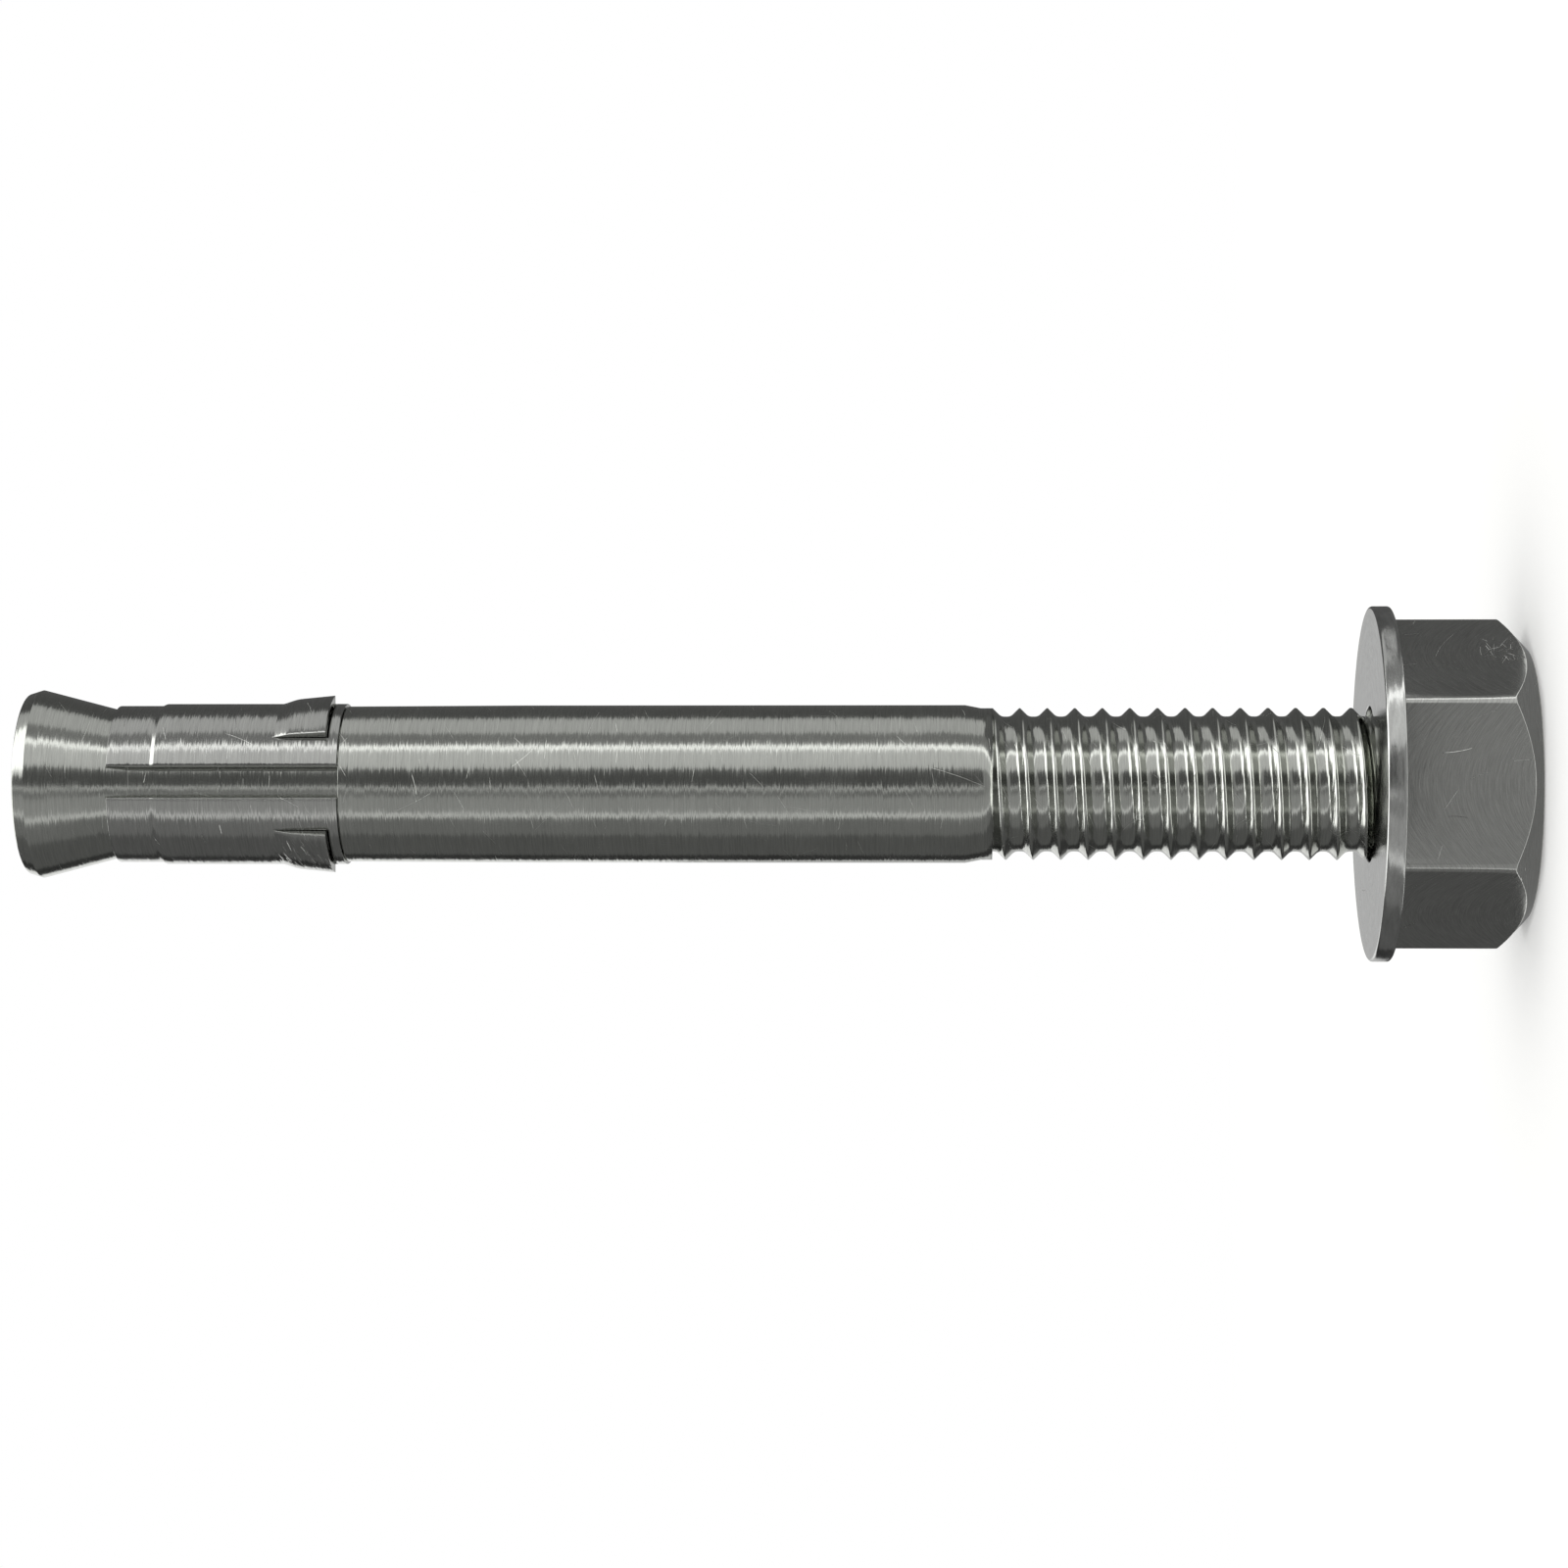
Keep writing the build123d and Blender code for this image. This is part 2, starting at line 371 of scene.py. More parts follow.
def nut_shape(settings, thread, stud):
    """The nut: a hexagon, chamfered round its outer face, with a countersunk, threaded bore."""
    low, high = NUT_LOW.z, NUT_HIGH.z
    tangent = corner_arc(settings)[1]
    sixth = pi / 3
    angles = [0.0]
    for side in range(6):
        start = side * sixth
        stops = [
            (start + tangent, settings.corner_columns),
            (start + sixth - tangent, settings.flat_columns),
            (start + sixth, settings.corner_columns),
        ]
        for stop, steps in stops:
            begin = angles[-1]
            angles += [begin + (stop - begin) * (i + 1) / steps for i in range(steps)]
    turns = ceil((high - low) / thread.pitch) + 1
    first = round((high - stud.thread_top) / thread.pitch) + 1
    in_pitch = thread_rows(thread, NUT_THREAD_ROWS)
    bottom, top = low + settings.entry, high - settings.entry
    wide = thread.nut_bore + settings.entry
    inset = 0.03  # keeps the rows of the thread off the two faces

    def section(angle):
        outside = hexagon_radius(settings, angle)
        rim = low + (outside - settings.face_radius) / tan(settings.chamfer)
        points = rounded([
            (wide, low, settings.edge),
            (settings.face_radius, low, settings.edge),
            (outside, rim, settings.edge),
            (outside, high, settings.edge),
            (wide, high, settings.edge),
            (thread.nut_bore, top),
            (thread.nut_bore, bottom),
        ])[:-2]
        # The rows of the thread lead back down the bore, in place of its two corners
        for turn in range(first, first - turns - 3, -1):
            for step in reversed(in_pitch):
                z = stud.thread_top + thread.pitch * (turn + angle / TURN) + step
                z = min(max(z, low + inset), high - inset)
                cut = thread.nut_tip - thread_phase(thread, stud, angle, z)
                sink = thread.nut_bore + max(0, bottom - z, z - top)
                points.append((max(thread.nut_bore, cut, sink), z))
        return points

    return lathe(angles, section, closed=True)


def sleeve_shape(settings):
    """The sleeve: a strip rolled round the neck, built of small cells, with its tabs bent out."""
    low, high = SLEEVE_LOW.z, SLEEVE_HIGH.z
    outer = settings.bore + settings.wall
    half_slot = asin(settings.slot_width / 2 / outer)
    slot = -pi / 2 + settings.slot_turn
    window = settings.window_angle
    tab = window - settings.side_kerf / outer
    root = settings.tab_root
    step_bottom, step_top = settings.step_bottom, settings.step_top
    step_edge = 0.02  # rows this far each side of an edge of the step keep it crisp
    centres = [TURN * (k + 0.5) / settings.tabs - pi / 2 for k in range(settings.tabs)]
    edges = [centre + edge for centre in centres for edge in (-window, -tab, tab, window)]
    angles = spread([slot + half_slot, *edges, slot + TURN - half_slot], settings.cell_angle)
    heights = spread([
        low, settings.window_bottom, settings.tab_bottom, root - settings.knee, root,
        step_bottom - step_edge, step_bottom + step_edge, step_top - step_edge,
        step_top + step_edge, settings.flare_bottom, high,
    ], settings.cell_height)
    above_root = 0.6
    # The shape of a tab, as (distance down from its root, rise)
    bend = rounded([
        (-above_root, 0),
        (0, 0, settings.root_bend),
        (settings.knee, settings.knee_rise, settings.knee_bend),
        (root - settings.tab_bottom, settings.rise),
    ], steps=8)

    def rise(z):
        """How far a tab stands out at a height."""
        down = root - z
        for (a, rise_a), (b, rise_b) in zip(bend, bend[1:]):
            if a <= down <= b:
                return rise_a + (rise_b - rise_a) * (down - a) / (b - a)
        return 0 if down <= 0 else settings.rise

    def part_at(angle, height):
        """What a place on the strip belongs to: the body, a tab, or a kerf that is cut away."""
        off = min(abs(angle - centre) for centre in centres)
        if off > window or not settings.window_bottom < height < root:
            return "body"
        return "tab" if off < tab and height > settings.tab_bottom else "kerf"

    def radii(z):
        """The inner and the outer radius of the strip at a height."""
        fall = (z - step_bottom) / (step_top - step_bottom)
        outside = outer - settings.step * min(max(fall, 0), 1)
        inside = settings.bore + max(0, z - settings.flare_bottom) * settings.flare
        return inside, outside

    mesh = bmesh.new()
    made = {}

    def corner(i, j, part, layer):
        """The vertex of a column and row, on a tab or on the body."""
        z = heights[j]
        out = rise(z) if part == "tab" else 0
        key = (i, j, bool(out), layer)
        if key not in made:
            r = radii(z)[layer] + out
            made[key] = mesh.verts.new((r * cos(angles[i]), r * sin(angles[i]), z))
        return made[key]

    cells = {}
    for i in range(len(angles) - 1):
        for j in range(len(heights) - 1):
            part = part_at((angles[i] + angles[i + 1]) / 2, (heights[j] + heights[j + 1]) / 2)
            if part != "kerf":
                cells[i, j] = part
    for (i, j), part in cells.items():
        ring = [(i, j), (i + 1, j), (i + 1, j + 1), (i, j + 1)]
        mesh.faces.new([corner(a, b, part, 1) for a, b in ring])
        mesh.faces.new([corner(a, b, part, 0) for a, b in reversed(ring)])
        beyond = [(i, j - 1), (i + 1, j), (i, j + 1), (i - 1, j)]
        for k, other in enumerate(beyond):
            if other not in cells:
                (a, b), (c, d) = ring[k], ring[(k + 1) % 4]
                mesh.faces.new([
                    corner(c, d, part, 1), corner(a, b, part, 1),
                    corner(a, b, part, 0), corner(c, d, part, 0),
                ])
    return mesh


# Objects
SAME_PLACE = 0.0002  # mm: vertices this close become one
NO_LENGTH = 0.00001  # mm: edges this short are taken out


def add_object(name, mesh, material):
    """Makes an object of a mesh that is in metres, and puts it in the scene."""
    data = bpy.data.meshes.new(name)
    mesh.to_mesh(data)
    mesh.free()
    data.materials.append(material)
    made = bpy.data.objects.new(name, data)
    bpy.context.scene.collection.objects.link(made)
    return made


def piece(name, mesh, body, node, material):
    """Makes a mesh in mm the piece that stands for a CAD node."""
    for vertex in mesh.verts:
        vertex.co *= MM
    bmesh.ops.remove_doubles(mesh, verts=mesh.verts, dist=SAME_PLACE * MM)
    bmesh.ops.dissolve_degenerate(mesh, edges=mesh.edges, dist=NO_LENGTH * MM)
    bmesh.ops.recalc_face_normals(mesh, faces=mesh.faces)
    made = add_object(name, mesh, material)
    made.data.shade_smooth()
    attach(made, body)
    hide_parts(node)
    return made


def even_normals(made):
    """Shades the piece by the plain mean of the faces round each vertex."""
    weighted = made.modifiers.new("Even normals", "WEIGHTED_NORMAL")
    weighted.weight = 100
    weighted.keep_sharp = True


# Materials
def node(tree, kind, *values, inputs=None, out=0, **settings):
    """Adds a node and gives its output, or all its outputs where out is None.

    The kind may end in the node's operation, as in "Math ADD". The values fill its sockets in
    order, and inputs fills them by name. A socket among them is linked.
    """
    kind, _, operation = kind.partition(" ")
    made = tree.nodes.new("ShaderNode" + kind)
    if operation:
        made.operation = operation
    for name, value in settings.items():
        setattr(made, name, value)
    for name, value in [*enumerate(values), *(inputs or {}).items()]:
        if isinstance(value, bpy.types.NodeSocket):
            tree.links.new(value, made.inputs[name])
        else:
            made.inputs[name].default_value = value
    return made.outputs[out] if made.outputs and out is not None else made.outputs


def new_material(name):
    """A material and its empty node tree."""
    material = bpy.data.materials.new(name)
    material.use_nodes = True
    material.node_tree.nodes.clear()
    return material, material.node_tree


# Marks of grinding or turning: how many lie side by side in a mm, how many follow each other in
# a mm, and the slopes that they give the surface round the axis and along it
Marks = namedtuple("Marks", "side_by_side in_line tilt_round tilt_along")

# Scratches, at most one in each cell of a loose grid: the cells per mm, the share of cells that
# have one, its length and width in mm, its lean from the girth and the fan of those leans in
# radians, and where only one place is worn, the centre and radius of that place in mm
Scratches = namedtuple("Scratches", "cells share length width lean fan worn", defaults=[None])

MARK_GLINT = 18  # tilts the few deepest marks up to 5.5 times as far as their depth alone would
FACE_FINENESS = 0.85  # the share of the marks' tilt that is missing on flat end faces
GIRTH_RADIUS = 2.7  # mm, near the shank's surface: makes the angle round the axis a length
SCRATCH_CORE = 0.3  # scratches and worn places are full from the middle to this share of their size
SCRATCH_BOW = 0.3  # per mm: how far apart the bends of scratches are, from one side to the other
SCRATCH_TILT = 0.5  # slope of the deepest scratches
SCRATCH_FAINTEST = 0.3  # depth of the faintest scratch, as a share of the deepest
SCRATCH_SHINE = 0.5  # how much lighter the bare metal in a scratch is
SCRATCH_ROUGHNESS = 0.25  # how much rougher it is
CLOUDS = 0.55  # soft clouds per mm
CLOUD_STAIN = 0.16  # how much the colour varies with the clouds
CLOUD_ROUGHNESS = 0.12  # how much the roughness varies with them


def steel(name, base, marks, scratches, roughness, anisotropic, curl=1.0, grain=0.6):
    """A steel with fine marks that turn its normal, and with thin scratches.

    The marks run round the axis. Curl is how much of the distance from the axis counts as
    height, which makes them rings on the end faces and arcs on the nut's flats. Grain is how
    much the colour varies from mark to mark.
    """
    material, tree = new_material(name)
    add = partial(node, tree)
    metres = add("TexCoord", out="Object")
    place = add("VectorMath SCALE", metres, inputs={"Scale": 1 / MM})
    x, y, z = add("SeparateXYZ", place, out=None)
    around = add("Math ARCTAN2", y, x)
    away = add("Math SQRT", add("Math ADD", add("Math MULTIPLY", x, x),
                                add("Math MULTIPLY", y, y)))
    along = add("Math ADD", z, add("Math MULTIPLY", away, curl))
    stretched = add("CombineXYZ", add("Math MULTIPLY", x, marks.in_line),
                    add("Math MULTIPLY", y, marks.in_line),
                    add("Math MULTIPLY", along, marks.side_by_side))
    fine = add("TexNoise", out="Color", inputs={
        "Vector": stretched, "Scale": 1.0, "Detail": 3.0, "Roughness": 0.65, "Lacunarity": 2.1})
    mark_round, mark_along, mark_colour = add("SeparateColor", fine, out=None)
    cloud = add("TexNoise", inputs={
        "Vector": place, "Scale": CLOUDS, "Detail": 3.0, "Roughness": 0.55})
    cloud = add("Math SUBTRACT", cloud, 0.5)
    normal = add("NewGeometry", out="Normal")
    tangent = add("Tangent", direction_type="RADIAL", axis="Z")
    axial = add("VectorMath CROSS_PRODUCT", normal, tangent)
    # Flat end faces are ground finer than what is turned or rolled
    upward = add("Math ABSOLUTE", add("SeparateXYZ", normal, out="Z"))
    coarse = add("Math SUBTRACT", 1.0, add("Math MULTIPLY", upward, FACE_FINENESS))

    def tilted(start, direction, amount):
        """The normal after a tilt."""
        moved = add("VectorMath SCALE", direction, inputs={"Scale": amount})
        return add("VectorMath ADD", start, moved)

    def marks_tilt(value, most):
        """Most marks tilt the surface a little, and a few of them much more."""
        mark = add("Math SUBTRACT", value, 0.5)
        square = add("Math MULTIPLY", mark, mark)
        strong = add("Math ADD", 1.0, add("Math MULTIPLY", square, MARK_GLINT))
        tilt = add("Math MULTIPLY", add("Math MULTIPLY", mark, strong), most)
        return add("Math MULTIPLY", tilt, coarse)

    turned = tilted(normal, tangent, marks_tilt(mark_round, marks.tilt_round))
    turned = tilted(turned, axial, marks_tilt(mark_along, marks.tilt_along))

    # Scratches lie on the unrolled surface: along the girth and along the axis
    flat = add("CombineXYZ", add("Math MULTIPLY", around, GIRTH_RADIUS), along, 0.0)
    scratched = 0.0
    for index, kind in enumerate(scratches):
        # Each kind has its own part of the grid
        shifted = add("VectorMath ADD", flat, (7.3 * index + 1.7, 3.1 * index + 0.9, 0.0))
        cell = add("TexVoronoi", out=None, voronoi_dimensions="2D",
                   inputs={"Vector": shifted, "Scale": kind.cells})
        turn, chance, depth = add("SeparateColor", cell["Color"], out=None)
        swing = add("Math SUBTRACT", turn, 0.5)
        angle = add("Math ADD", add("Math MULTIPLY", swing, kind.fan), kind.lean)
        local = add("VectorMath SUBTRACT", shifted, cell["Position"])
        local = add("VectorRotate", rotation_type="Z_AXIS",
                    inputs={"Vector": local, "Angle": angle})
        on, off, _ = add("SeparateXYZ", local, out=None)
        bend = add("Math MULTIPLY", add("Math SUBTRACT", depth, 0.5), SCRATCH_BOW)
        bow = add("Math MULTIPLY", add("Math MULTIPLY", on, on), bend)
        aside = add("Math ABSOLUTE", add("Math SUBTRACT", off, bow))
        line = add("MapRange", aside, kind.width * SCRATCH_CORE, kind.width, 1.0, 0.0,
                   interpolation_type="SMOOTHSTEP")
        ends = add("MapRange", add("Math ABSOLUTE", on), kind.length * SCRATCH_CORE,
                   kind.length / 2, 1.0, 0.0, interpolation_type="SMOOTHSTEP")
        kept = add("Math LESS_THAN", chance, kind.share)
        if kind.worn:
            *centre, radius = kind.worn
            distance = add("VectorMath DISTANCE", place, centre, out="Value")
            near = add("MapRange", distance, radius * SCRATCH_CORE, radius, 1.0, 0.0,
                       interpolation_type="SMOOTHSTEP")
            kept = add("Math MULTIPLY", kept, near)
        mask = add("Math MULTIPLY", add("Math MULTIPLY", line, ends), kept)
        deep = add("Math ADD", SCRATCH_FAINTEST,
                   add("Math MULTIPLY", depth, 1 - SCRATCH_FAINTEST))
        mask = add("Math MULTIPLY", mask, deep)
        turned = tilted(turned, axial, add("Math MULTIPLY", mask, SCRATCH_TILT))
        turned = tilted(turned, tangent, add("Math MULTIPLY", mask, swing))
        scratched = add("Math MAXIMUM", scratched, mask)

    grained = add("Math MULTIPLY", add("Math SUBTRACT", mark_colour, 0.5), grain)
    level = add("Math ADD", add("Math ADD", 1.0, grained),
                add("Math MULTIPLY", cloud, CLOUD_STAIN))
    level = add("Math ADD", level, add("Math MULTIPLY", scratched, SCRATCH_SHINE))
    rough = add("Math ADD", roughness, add("Math MULTIPLY", cloud, CLOUD_ROUGHNESS))
    rough = add("Math ADD", rough, add("Math MULTIPLY", scratched, SCRATCH_ROUGHNESS))
    shader = add("BsdfPrincipled", inputs={
        "Base Color": add("VectorMath SCALE", tuple(base[:3]), inputs={"Scale": level}),
        "Metallic": 1.0,
        "Roughness": rough,
        "Anisotropic": anisotropic,
        "Normal": add("VectorMath NORMALIZE", turned),
        "Tangent": tangent,
    })
    add("OutputMaterial", shader)
    return material


# The softboxes and flags round the object, as seen from it: from and to, in degrees from the
# camera's side towards +X, the brightness of the wall and of the cards that carry it on over the
# floor, where 1 is white, the wall's height in mm, and the brightness of the cards near the nut
WALL = (
    (174, 186, 0.5, 450, 0.3), (139, 174, 0.1, 450, 0.1), (112, 139, 0.1, 450, 0.13),
    (107, 112, 0.5, 450, 0.13), (86, 107, 0.56, 430, 0.13), (79, 86, 0.56, 195, 0.13),
    (60, 79, 0.24, 195, 0.24), (58, 60, 0.6, 195, 0.6), (51, 58, 1.7, 195, 1.9),
    (22, 51, 0.7, 195, 0.7), (14, 22, 0.12, 195, 0.3), (-4, 14, 0.1, 430, 0.3),
    (-9, -4, 0.6, 430, 0.3), (-18, -9, 0.2, 430, 0.3), (-43, -18, 0.36, 430, 0.37),
    (-50, -43, 0.75, 430, 0.75), (-80, -50, 0.2, 320, 0.2), (-128, -80, 0.12, 280, 0.11),
    (-149, -128, 0.04, 300, 0.05), (-174, -149, 0.6, 45, 0.1),
)
# Rings of card close round the nut, which only reflections show: radii and brightness. The dark one
# lies under the chamfer, where the floor is only in shade, and paints that shade into the chamfer's
# reflection; the nut's edges reflect the bright one
CARDS = ((4.56, 5.5, 0.22), (5.5, 6.3, 1.3))
# Softboxes above the wall, for the thread's flanks, the bevels and the scratches: from and to in
# degrees, the radius and height of their lower and their upper edge, and their brightness
UPPER = (
    (-128, 139, (60, 450), (235, 450), 2.6), (22, 86, (219, 205), (219, 430), 2.0),
    (-128, -80, (219, 285), (219, 430), 1.8),
)
CARD_HEIGHT = 0.01  # mm: how far the cards lie over the floor
CARD_ANGLE = radians(6)  # the most that one flat card spans

# How much of a floor point's view a square fills, where it hangs at half its width
SQUARE_IN_VIEW = 0.554

# Where the camera stands and what it looks at, in mm: a little nearer to the nut's end
CAMERA_PLACE = Vector((0, -133.07, 19.0))
CAMERA_AIM = Vector((0, 0, 24.99))


def seen_directly(tree):
    """1 for what the camera, a reflection or a view through glass shows, and 0 for light."""
    rays = node(tree, "LightPath", out=None)
    seen = node(tree, "Math MAXIMUM", rays["Is Camera Ray"], rays["Is Glossy Ray"])
    return node(tree, "Math MAXIMUM", seen, rays["Is Transmission Ray"])


def light_the_room(settings):
    """The camera and the metal see a white room. What lights the floor is softer, and the rest
    of that light comes from a softbox above.
    """
    scene = bpy.context.scene
    world = bpy.data.worlds.new("White studio")
    world.use_nodes = True
    scene.world = world
    tree = world.node_tree
    strength = node(tree, "MapRange", seen_directly(tree), 0.0, 1.0, 1 - settings.overhead, 1.0)
    background = tree.nodes["Background"]
    background.inputs["Color"].default_value = linear("#FFFFFF")
    tree.links.new(strength, background.inputs["Strength"])
    lamp = bpy.data.lights.new("Overhead softbox", "AREA")
    lamp.size = settings.softbox_size
    lamp.energy = settings.overhead / SQUARE_IN_VIEW * pi * settings.softbox_size ** 2
    softbox = bpy.data.objects.new("Overhead_softbox", lamp)
    softbox.location = (0, 0, settings.softbox_size / 2)
    softbox.visible_camera = False
    softbox.visible_glossy = False
    scene.collection.objects.link(softbox)


def floor_material(settings):
    """Pale matt paint, which the camera and the metal see lifted to the backdrop's white."""
    material, tree = new_material("Matt white studio floor")
    matt = node(tree, "BsdfDiffuse", settings.floor)
    lift = node(tree, "Emission", linear("#FFFFFF"), settings.floor_lift)
    lifted = node(tree, "AddShader", matt, lift)
    # Towards its rim the floor passes into the white room
    away = node(tree, "VectorMath LENGTH", node(tree, "NewGeometry"), out="Value")
    rim = node(tree, "MapRange", away, settings.fade_start * MM, settings.fade_end * MM,
               interpolation_type="SMOOTHSTEP")
    white = node(tree, "Emission", linear("#FFFFFF"), 1.0)
    shown = node(tree, "MixShader", rim, lifted, white)
    node(tree, "OutputMaterial", node(tree, "MixShader", seen_directly(tree), matt, shown))
    return material


def glow_material():
    """Lit cloth and grey card, as bright as each face says."""
    material, tree = new_material("Softbox cloth and grey flags")
    level = node(tree, "Attribute", out="Fac", attribute_name="level")
    node(tree, "OutputMaterial", node(tree, "Emission", linear("#FFFFFF"), level))
    return material


def wall_shape(settings):
    """The softboxes, flags and cards, each a strip round the axis, in metres."""
    mesh = bmesh.new()
    layer = mesh.faces.layers.float.new("level")

    def strip(start, stop, begin, end, level):
        """A strip between two edges, each a radius and a height."""
        columns = spread([radians(start), radians(stop)], CARD_ANGLE)
        for a, b in zip(columns, columns[1:]):
            corners = [mesh.verts.new((r * MM * sin(angle), -r * MM * cos(angle), z * MM))
                       for (r, z), angle in ((begin, a), (begin, b), (end, b), (end, a))]
            mesh.faces.new(corners)[layer] = level

    wall, near, low = settings.wall_radius, settings.near_radius, CARD_HEIGHT
    for inner, outer, level in CARDS:
        strip(-180, 180, (inner, low), (outer, low), level)
    for start, stop, far_level, top, near_level in WALL:
        strip(start, stop, (CARDS[-1][1], low), (near, low), near_level)
        strip(start, stop, (near, low), (wall, low), far_level)
        strip(start, stop, (wall, low), (wall, top), far_level)
    for row in UPPER:
        strip(*row)
    return mesh


def set_camera(settings):
    """The object lies on its side in the photograph, so +X is up in the picture."""
    scene = bpy.context.scene
    camera = bpy.data.objects.new("Camera", bpy.data.cameras.new("Camera"))
    camera.data.lens = settings.lens
    camera.data.clip_start = 5 * MM
    back = (CAMERA_PLACE - CAMERA_AIM).normalized()
    up = Vector((1, 0, 0))
    turn = Matrix((up.cross(back), up, back)).transposed().to_4x4()
    camera.matrix_world = Matrix.Translation(CAMERA_PLACE * MM) @ turn
    scene.collection.objects.link(camera)
    scene.camera = camera
    scene.view_settings.view_transform = "Standard"


def studio(settings):
    """Sets the light, the floor, the softboxes and flags, and the camera."""
    light_the_room(settings)
    mesh = bmesh.new()
    bmesh.ops.create_circle(mesh, cap_ends=True, segments=96, radius=settings.floor_radius * MM)
    floor = add_object("Floor", mesh, floor_material(settings))
    # Only reflections show the softboxes and flags. They give the metal its light and dark bands.
    wall = add_object("Studio_wall", wall_shape(settings), glow_material())
    wall.visible_camera = False
    wall.visible_diffuse = False
    wall.visible_shadow = False
    set_camera(settings)


# Operators
class NAILANCHOR_OT_stud(bpy.types.Operator):
    """Builds the stud with its rolled thread, neck and cone"""
    bl_idname = "nail_anchor.stud"
    bl_label = "Build stud"

    def execute(self, context):
        scene = context.scene
        # Stainless bar, cold formed and turned: clear reflections, drawn out along the axis
        # and frayed by turning marks 0.03 mm apart, with a few handling scratches
        material = steel(
            "Turned stainless steel", scene.anchor_steels.stud,
            Marks(side_by_side=30, in_line=0.9, tilt_round=0.2, tilt_along=0.35),
            [
                Scratches(cells=0.8, share=0.45, length=0.9, width=0.006, lean=-0.5, fan=0.6),
                Scratches(cells=0.45, share=0.5, length=1.8, width=0.005, lean=0.6, fan=1.4),
                Scratches(cells=1.2, share=0.35, length=0.6, width=0.006, lean=0.0, fan=0.5),
                Scratches(cells=0.3, share=0.5, length=2.6, width=0.005, lean=-1.35, fan=0.3),
            ],
            roughness=0.13, anisotropic=0.6, curl=0.35,
        )
        shape = stud_shape(scene.anchor_stud, scene.anchor_thread)
        even_normals(piece("stud", shape, "stud", "cone_bolt", material))
        return {"FINISHED"}


class NAILANCHOR_OT_sleeve(bpy.types.Operator):
    """Builds the expansion sleeve with its slot and its bent tabs"""
    bl_idname = "nail_anchor.sleeve"
    bl_label = "Build sleeve"

    def execute(self, context):
        scene = context.scene
        lower_tab = (-2.5, -1.5, 41.1, 1.6)
        # Stainless strip, brushed and rolled into a tube: marks 0.03 mm apart round it, bright
        # cut edges, and slanting scratches where one tab was bent
        material = steel(
            "Rolled stainless strip", scene.anchor_steels.sleeve,
            Marks(side_by_side=30, in_line=0.9, tilt_round=0.26, tilt_along=0.35),
            [
                Scratches(cells=0.8, share=0.4, length=0.9, width=0.009, lean=-0.3, fan=0.3),
                Scratches(cells=0.5, share=0.4, length=1.6, width=0.005, lean=-0.7, fan=1.2),
                Scratches(cells=2.1, share=0.95, length=0.9, width=0.022, lean=-0.35, fan=0.3,
                          worn=lower_tab),
                Scratches(cells=2.7, share=0.9, length=0.7, width=0.018, lean=-0.25, fan=0.3,
                          worn=lower_tab),
                Scratches(cells=1.3, share=0.7, length=0.5, width=0.012, lean=-0.1, fan=0.25,
                          worn=(-1.4, -2.35, 43.6, 3.0)),
            ],
            roughness=0.13, anisotropic=0.6, curl=0.35,
        )
        shape = sleeve_shape(scene.anchor_sleeve)
        made = piece("sleeve", shape, "sleeve", "expansion_sleeve", material)
        bevel = made.modifiers.new("Cut edges", "BEVEL")
        bevel.width = scene.anchor_sleeve.edge * MM
        bevel.segments = 2
        bevel.limit_method = "ANGLE"
        bevel.angle_limit = radians(40)
        bevel.use_clamp_overlap = True
        even_normals(made)
        return {"FINISHED"}


class NAILANCHOR_OT_washer(bpy.types.Operator):
    """Builds the flat washer with its tumbled rim"""
    bl_idname = "nail_anchor.washer"
    bl_label = "Build washer"

    def execute(self, context):
        scene = context.scene
        # Stainless sheet, stamped and tumbled: satin faces with marks 0.2 mm apart, which is
        # coarser than real so that they show, and a smooth bright rim
        material = steel(
            "Tumbled stainless sheet", scene.anchor_steels.washer,
            Marks(side_by_side=5, in_line=1.2, tilt_round=0.1, tilt_along=0.1),
            [Scratches(cells=0.5, share=0.4, length=1.2, width=0.008, lean=0.5, fan=3.0)],
            roughness=0.16, anisotropic=0.2,
        )
        shape = washer_shape(scene.anchor_washer)
        even_normals(piece("washer", shape, "washer", "washer", material))
        return {"FINISHED"}


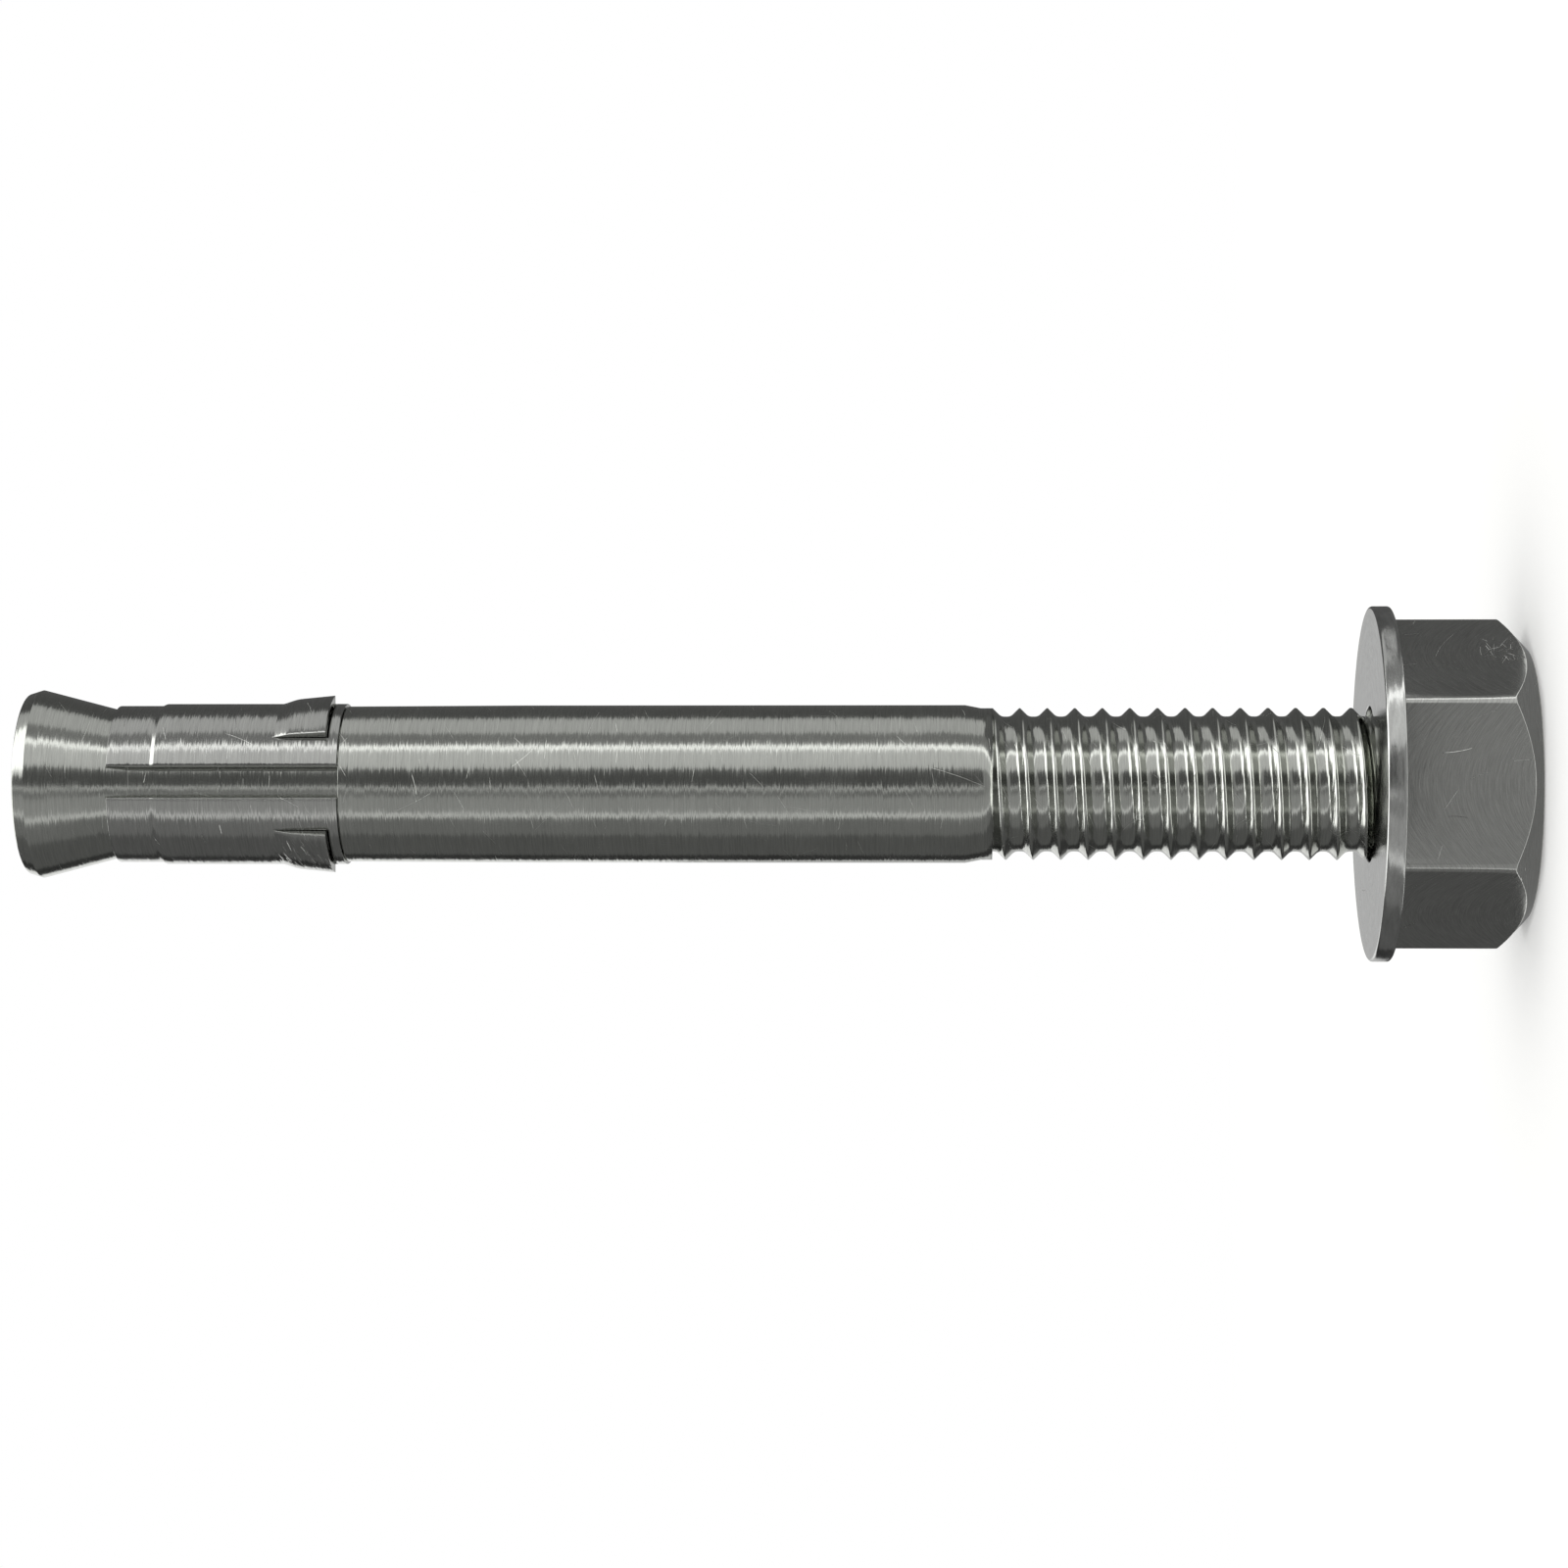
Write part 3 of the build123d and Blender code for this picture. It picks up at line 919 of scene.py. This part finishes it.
class NAILANCHOR_OT_nut(bpy.types.Operator):
    """Builds the hexagon nut with its chamfer and its threaded bore"""
    bl_idname = "nail_anchor.nut"
    bl_label = "Build nut"

    def execute(self, context):
        scene = context.scene
        # Stainless bar, machined: flats with curved facing marks 0.03 mm apart, a scuffed patch
        # on one flat and worn scratches on the chamfer
        material = steel(
            "Machined stainless bar", scene.anchor_steels.nut,
            Marks(side_by_side=32, in_line=1.5, tilt_round=0.06, tilt_along=0.05),
            [
                Scratches(cells=0.6, share=0.5, length=1.1, width=0.008, lean=0.5, fan=3.0),
                Scratches(cells=0.9, share=0.4, length=0.7, width=0.008, lean=1.4, fan=0.8),
                Scratches(cells=2.6, share=0.85, length=0.7, width=0.012, lean=0.9, fan=3.0,
                          worn=(4.4, -2.1, 1.2, 1.3)),
                Scratches(cells=3.6, share=0.85, length=0.5, width=0.011, lean=-0.5, fan=3.0,
                          worn=(4.5, -1.9, 1.0, 1.1)),
                Scratches(cells=4.6, share=0.8, length=0.35, width=0.012, lean=0.2, fan=3.0,
                          worn=(4.4, -2.1, 1.1, 1.2)),
                Scratches(cells=3.0, share=0.85, length=0.8, width=0.018, lean=-0.8, fan=0.5,
                          worn=(-3.2, -4.4, 0.6, 0.8)),
            ],
            roughness=0.16, anisotropic=0.2, curl=2.0, grain=0.9,
        )
        shape = nut_shape(scene.anchor_nut, scene.anchor_thread, scene.anchor_stud)
        even_normals(piece("nut", shape, "nut", "hex_nut", material))
        return {"FINISHED"}


class NAILANCHOR_OT_studio(bpy.types.Operator):
    """Sets the floor, the softboxes, the white surroundings and the camera"""
    bl_idname = "nail_anchor.studio"
    bl_label = "Set studio"

    def execute(self, context):
        studio(context.scene.anchor_studio)
        return {"FINISHED"}


OPERATORS = (
    NAILANCHOR_OT_stud, NAILANCHOR_OT_sleeve, NAILANCHOR_OT_washer, NAILANCHOR_OT_nut,
    NAILANCHOR_OT_studio,
)


class NAILANCHOR_PT_pieces(bpy.types.Panel):
    """Lists the pieces and the studio"""
    bl_label = "Nail anchor"
    bl_space_type = "VIEW_3D"
    bl_region_type = "UI"
    bl_category = "Anchor"

    def draw(self, context):
        for operator in OPERATORS:
            self.layout.operator(operator.bl_idname)


CLASSES = (*GROUPS.values(), *OPERATORS, NAILANCHOR_PT_pieces)


def register():
    for each in CLASSES:
        bpy.utils.register_class(each)
    for name, group in GROUPS.items():
        setattr(bpy.types.Scene, name, PointerProperty(type=group))


def unregister():
    for name in GROUPS:
        delattr(bpy.types.Scene, name)
    for each in reversed(CLASSES):
        bpy.utils.unregister_class(each)


def main():
    register()
    bpy.ops.nail_anchor.studio()
    bpy.ops.nail_anchor.stud()
    bpy.ops.nail_anchor.sleeve()
    bpy.ops.nail_anchor.washer()
    bpy.ops.nail_anchor.nut()
    bpy.context.view_layer.update()


if __name__ == "__main__":
    main()
